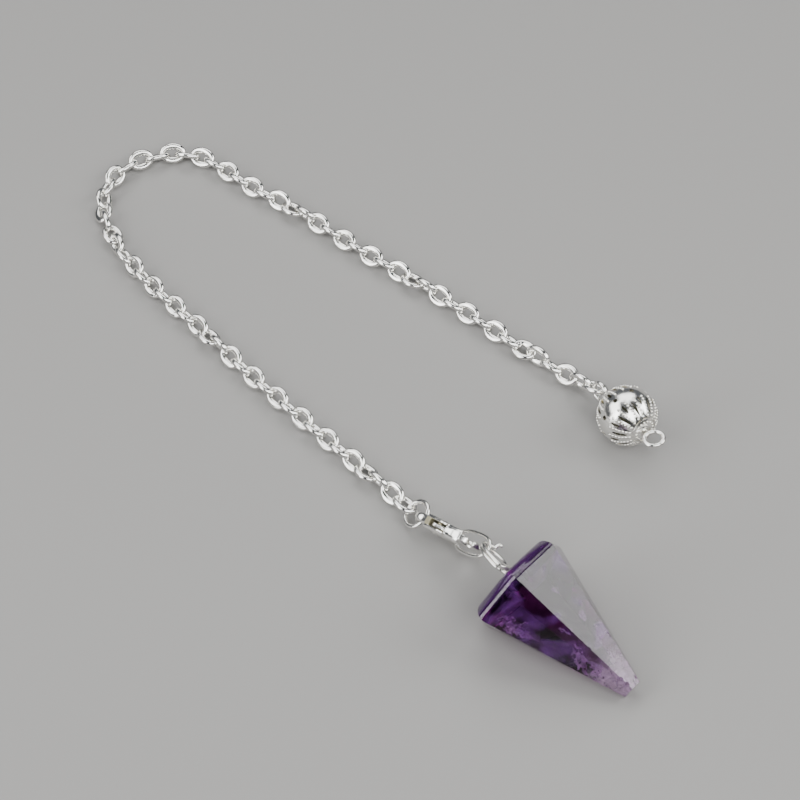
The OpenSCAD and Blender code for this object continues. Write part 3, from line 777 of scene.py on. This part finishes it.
shell_mesh = mesh_of("ball_shell", cup(ball_r))
shell_mesh = carved(shell_mesh, mesh_of("ball_inside", cup(ball_r - sheet)))
holes, trims = [], []
for half in (-1, 1):
    for k in range(flutes):
        lon = first_drop + 360 / flutes * k
        holes.append(drop(lon, *drops[k % 2], half))
        ridge = lon + 180 / flutes
        trims += [grain(on_ball(ridge, half * lat, ball_r), grain_r)
                  for lat in np.arange(*grain_rows).tolist()]
    trims += [grain(on_ball(360 / pole_grains * k, half * pole_lat, ball_r - pole_sunk),
                    pole_grain_r) for k in range(pole_grains)]
    for lat, proud, r, turn_step in collars:
        line = [on_ball(a, half * lat, ball_r + proud) for a in range(0, 360, turn_step)]
        trims.append(wire(line, r, 8, closed=True, side=(1, 0, 0)))
for k in range(flutes // 2):
    lon = first_drop + 360 / flutes * (2 * k + 1)
    holes.append([(lon + hole_r * cos(t), hole_lat + hole_r * sin(t))
                  for t in np.linspace(0, 2 * pi, 14, endpoint=False).tolist()])
plugs = mesh_of("piercing", *[plug(outline) for outline in holes])
outward = bmesh.new()
outward.from_mesh(plugs)
bmesh.ops.recalc_face_normals(outward, faces=outward.faces[:])
outward.to_mesh(plugs)
shell_mesh = carved(shell_mesh, plugs)

# The plate hardly reaches the inside of the cups, which stays dull
inside = [f.index for f in shell_mesh.polygons if f.center.length < ball_r - 0.6 * sheet
          and f.normal.dot(f.center.normalized()) < -0.7]
bead = make_piece("ball_shell", shell_mesh, ball_place, cast_silver, sharp=40)
bead.data.materials.append(dull)
for k in inside:
    bead.data.polygons[k].material_index = 1
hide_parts("ball")
make_piece("ball_grains", mesh_of("ball_trim", *trims), ball_place, cast_silver)

# Floor, lights and camera
# A plain pale board under five plain soft boxes in a dim studio, seen from 50 degrees above.
# The board is painted and matt, so that it shows only soft shadows.
board_half = 3
corners = [(board_half * x, board_half * y, 0) for x, y in ((-1, -1), (1, -1), (1, 1), (-1, 1))]
floor = bpy.data.objects.new("floor", bpy.data.meshes.new("floor"))
floor.data.from_pydata(corners, [], [(0, 1, 2, 3)])
bpy.context.scene.collection.objects.link(floor)
matte, tree = new_material("pale_board")
board = add(tree, "BsdfPrincipled", {"Base Color": linear("#868583"), "Roughness": 0.55})
add(tree, "OutputMaterial", {"Surface": board.outputs[0]})
floor.data.materials.append(matte)

# The studio is dim in front of the object and a little brighter behind it
world = bpy.data.worlds.new("studio")
bpy.context.scene.world = world
world.use_nodes = True
tree = world.node_tree
backdrop = tree.nodes["Background"]
behind = add(tree, "SeparateXYZ", {0: add(tree, "TexCoord").outputs["Generated"]}).outputs["Y"]
behind = add(tree, "MapRange", {"Value": behind, "From Min": -1.0}).outputs[0]
surround = add(tree, "ValToRGB", {0: behind})
dim, brighter = surround.color_ramp.elements
dim.position, dim.color = 0.45, linear("#3C3E42")
brighter.position, brighter.color = 0.95, linear("#6A6D72")
tree.links.new(surround.outputs[0], backdrop.inputs["Color"])
backdrop.inputs["Strength"].default_value = 0.7

# Each soft box: which way it stands, how far, its width and height, and its power
middle = Vector((4.8, 0.15, 0)) * MM
for name, way, distance, wide, tall, power in (
        ("right_box", (0.80, -0.02, 0.62), 0.44, 0.26, 0.24, 1.35),
        ("front_box", (0.22, -0.64, 0.73), 0.46, 0.42, 0.26, 2.30),
        ("back_box", (0.00, 0.60, 0.80), 0.50, 0.44, 0.34, 1.50),
        ("left_box", (-0.80, -0.42, 0.44), 0.50, 0.18, 0.40, 1.60),
        ("high_left_box", (-0.72, 0.12, 0.68), 0.50, 0.34, 0.34, 1.50)):
    lamp = bpy.data.lights.new(name, "AREA")
    lamp.shape, lamp.size, lamp.size_y, lamp.energy = "RECTANGLE", wide, tall, power
    held = bpy.data.objects.new(name, lamp)
    bpy.context.scene.collection.objects.link(held)
    held.location = Vector(way).normalized() * distance + middle
    held.rotation_euler = Vector(way).to_track_quat("Z", "Y").to_euler()

camera_rise, camera_away = radians(50), 0.3103
camera = bpy.data.objects.new("camera", bpy.data.cameras.new("camera"))
bpy.context.scene.collection.objects.link(camera)
camera.data.lens, camera.data.sensor_width = 104.4, 36
camera.data.clip_start = 0.01
camera.location = middle + Vector((0, -cos(camera_rise), sin(camera_rise))) * camera_away
camera.rotation_euler = (pi / 2 - camera_rise, 0, 0)
bpy.context.scene.camera = camera
